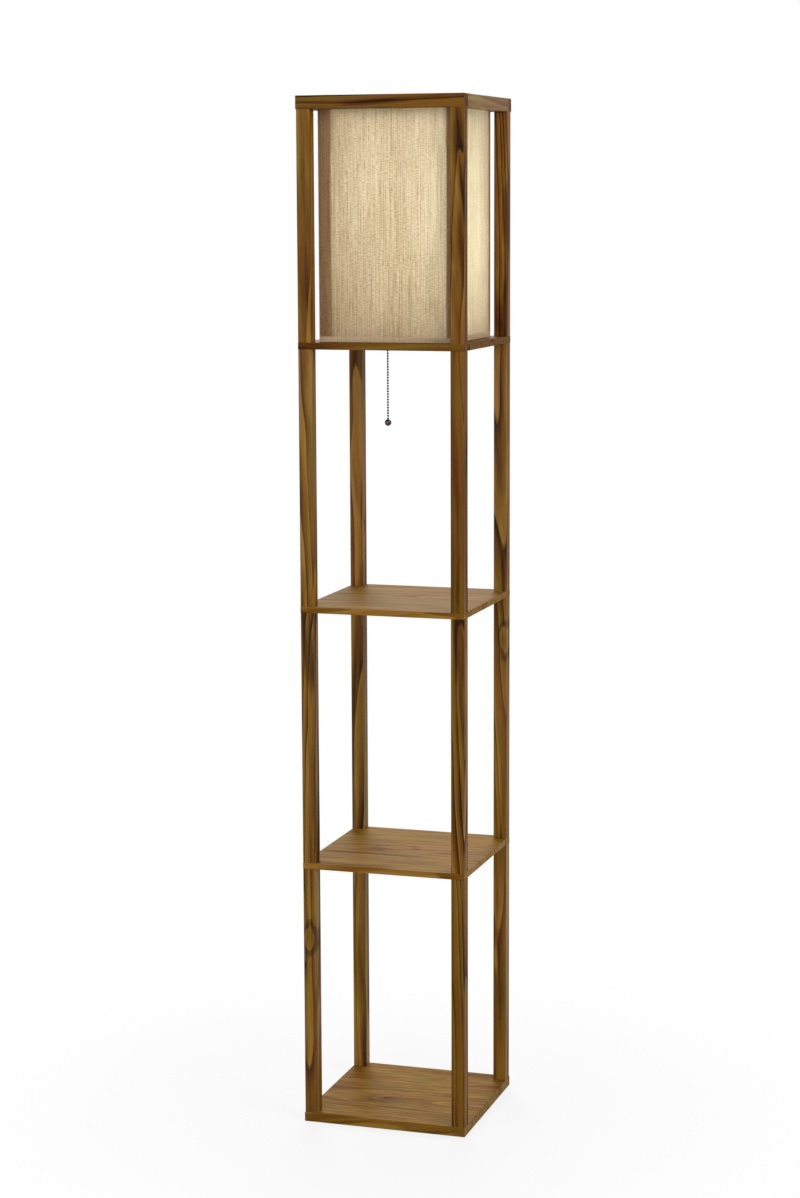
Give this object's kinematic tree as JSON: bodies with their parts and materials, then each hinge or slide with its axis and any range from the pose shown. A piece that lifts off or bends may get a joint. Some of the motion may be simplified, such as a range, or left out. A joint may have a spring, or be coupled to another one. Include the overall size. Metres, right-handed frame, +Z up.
{
  "type": "shelf floor lamp",
  "caption": "Tall square wooden floor lamp with open shelves under a lit fabric shade, switched by a hanging bead pull chain.",
  "frame": {"origin": "centre of the square footprint, on the floor under the felt pads", "axes": "+Z up along the posts, +Y from the front to the back, +X to the right seen from the front; the chain hangs at -X"},
  "size_m": [0.2612, 0.2612, 1.586],
  "materials": {
    "stained_ash": "ash, walnut-brown stain under a satin lacquer",
    "shade_frame_wood": "plain softwood strip, sanded",
    "beech_dowel": "plain beech",
    "shade_linen": "woven linen with slub threads, undyed beige",
    "felt": "pressed dark felt",
    "zinc_steel": "zinc plated",
    "brass": "plain brass",
    "switch_steel": "plain spring steel",
    "antique_nickel": "dark antique nickel, satin",
    "black_phenolic": "moulded black phenolic",
    "white_nylon": "moulded natural nylon",
    "bulb_cap_metal": "rolled aluminium",
    "opal_glass": "opal glass, lit"
  },
  "bodies": {
    "root": {"base_pads": "felt", "base_panel": "stained_ash", "base_screws": "zinc_steel", "bulb_cap": "bulb_cap_metal", "bulb_globe": "opal_glass", "centre_contact": "brass", "chain_guide": "antique_nickel", "contact_leaf": "switch_steel", "cord_nipple": "zinc_steel", "floor_eyelet": "antique_nickel", "head_floor": "stained_ash", "head_floor_studs": "zinc_steel", "head_post_back_left": "stained_ash", "head_post_back_right": "stained_ash", "head_post_front_left": "stained_ash", "head_post_front_right": "stained_ash", "lid_screws": "zinc_steel", "lower_post_back_left": "stained_ash", "lower_post_back_right": "stained_ash", "lower_post_front_left": "stained_ash", "lower_post_front_right": "stained_ash", "lower_shelf": "stained_ash", "middle_post_back_left": "stained_ash", "middle_post_back_right": "stained_ash", "middle_post_front_left": "stained_ash", "middle_post_front_right": "stained_ash", "nipple_bushing": "white_nylon", "nipple_nut": "zinc_steel", "nipple_washers": "zinc_steel", "return_spring": "switch_steel", "screw_shell": "brass", "shade_battens": "shade_frame_wood", "shade_fabric": "shade_linen", "shade_rails": "shade_frame_wood", "shade_screws": "zinc_steel", "shelf_studs": "zinc_steel", "socket_base": "black_phenolic", "socket_lid": "black_phenolic", "socket_skirt": "black_phenolic", "switch_pins": "switch_steel", "terminal_screws": "brass", "threaded_inserts": "brass", "top_frame_studs": "zinc_steel", "top_rail_back": "stained_ash", "top_rail_dowels": "beech_dowel", "top_rail_front": "stained_ash", "top_rail_left": "stained_ash", "top_rail_right": "stained_ash", "upper_post_back_left": "stained_ash", "upper_post_back_right": "stained_ash", "upper_post_front_left": "stained_ash", "upper_post_front_right": "stained_ash", "upper_shelf": "stained_ash"},
    "pull_chain": {"chain_clevis": "antique_nickel", "upper_chain": "antique_nickel"},
    "chain_swivel": {"swivel_bead": "antique_nickel"},
    "hanging_chain": {"lower_chain": "antique_nickel", "chain_ball": "antique_nickel"},
    "lever": {"switch_lever": "switch_steel"},
    "ratchet": {"ratchet_wheel": "white_nylon"}
  },
  "joints": [
    {"name": "chain_pull", "type": "slide", "parent": "root", "child": "pull_chain", "axis": [0, 0, -1], "range_m": [0, 0.008], "stiffness_N_per_m": 800, "springref_m": -0.004, "deforming": ["return_spring"]},
    {"name": "lever_turn", "type": "hinge", "parent": "root", "child": "lever", "pos_m": [-0.00818, 0, 1.2435], "axis": [0, -1, 0], "range_deg": [0, 20.84]},
    {"name": "ratchet_turn", "type": "hinge", "parent": "root", "child": "ratchet", "pos_m": [0.0068, 0, 1.2435], "axis": [0, 1, 0], "range_deg": [0, 45]},
    {"name": "chain_swing_front_back", "type": "hinge", "parent": "pull_chain", "child": "chain_swivel", "pos_m": [-0.03, 0, 1.206], "axis": [1, 0, 0], "range_deg": [-60, 60]},
    {"name": "chain_swing_left_right", "type": "hinge", "parent": "chain_swivel", "child": "hanging_chain", "pos_m": [-0.03, 0, 1.206], "axis": [0, 1, 0], "range_deg": [-60, 60]}
  ],
  "couplings": [
    {"joint": "lever_turn", "follows": "chain_pull", "rad_per_m": 45.455},
    {"joint": "ratchet_turn", "follows": "chain_pull", "rad_per_m": 98.175}
  ]
}
